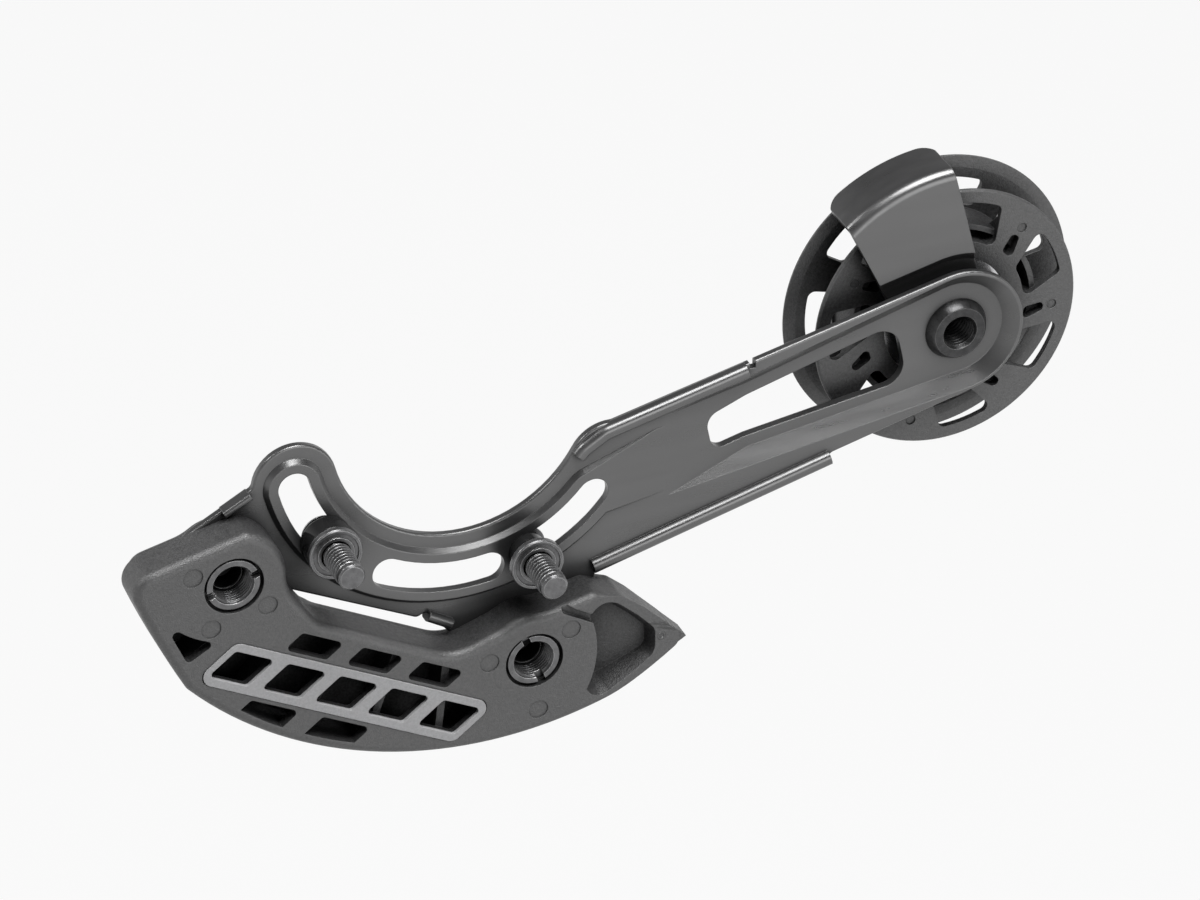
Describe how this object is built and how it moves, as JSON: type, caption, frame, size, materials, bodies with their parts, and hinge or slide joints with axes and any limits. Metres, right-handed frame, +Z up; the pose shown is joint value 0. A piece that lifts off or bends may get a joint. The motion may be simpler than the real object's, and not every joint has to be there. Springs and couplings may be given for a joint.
{
  "type": "bicycle chain guide",
  "caption": "Lower bicycle chain guide: slotted sheet-steel backplate round the crank axle, nylon skid below it and a free-turning idler pulley on a long arm.",
  "frame": {"origin": "on the bottom bracket axis, on the inboard (frame side) face of the backplate's sheet", "axes": "+X to the rear of the bicycle, +Y outboard along the bottom bracket axis, +Z up"},
  "size_m": [0.215, 0.0353, 0.1059],
  "materials": {
    "satin_black_steel": "satin black coating",
    "dark_steel": "black oxide",
    "bright_steel": "ground bright",
    "black_nylon": "fine moulded grain",
    "black_spacer": "gloss black",
    "pale_trim": "satin pale grey",
    "cage_nylon": "natural",
    "seal_rubber": "smooth"
  },
  "bodies": {
    "guide": {"backplate": "satin_black_steel", "pulley_boss": "dark_steel", "pulley_bolt": "dark_steel", "pulley_spacer": "bright_steel", "bearing_inner_race": "bright_steel", "chain_keeper": "satin_black_steel", "skid_inner_half": "black_nylon", "skid_outer_half": "black_nylon", "skid_trim_plate": "pale_trim", "sleeve_nut_front": "dark_steel", "sleeve_nut_rear": "dark_steel", "skid_bolt_front": "dark_steel", "skid_bolt_rear": "dark_steel", "mount_bolt_front": "dark_steel", "mount_bolt_rear": "dark_steel", "mount_spacer_front": "black_spacer", "mount_spacer_rear": "black_spacer", "mount_washer_front": "dark_steel", "mount_washer_rear": "dark_steel"},
    "pulley": {"pulley_wheel": "black_nylon", "bearing_outer_race": "bright_steel", "bearing_inboard_seal": "seal_rubber", "bearing_outboard_seal": "seal_rubber"},
    "ball_set": {"bearing_balls": "bright_steel", "bearing_cage": "cage_nylon"}
  },
  "joints": [
    {"name": "pulley_spin", "type": "hinge", "parent": "guide", "child": "pulley", "pos_m": [0.11, 0.0118, -0.0058], "axis": [0, 1, 0], "continuous": true},
    {"name": "ball_orbit", "type": "hinge", "parent": "guide", "child": "ball_set", "pos_m": [0.11, 0.0118, -0.0058], "axis": [0, 1, 0], "continuous": true}
  ],
  "couplings": [
    {"joint": "ball_orbit", "follows": "pulley_spin", "ratio": 0.615}
  ]
}
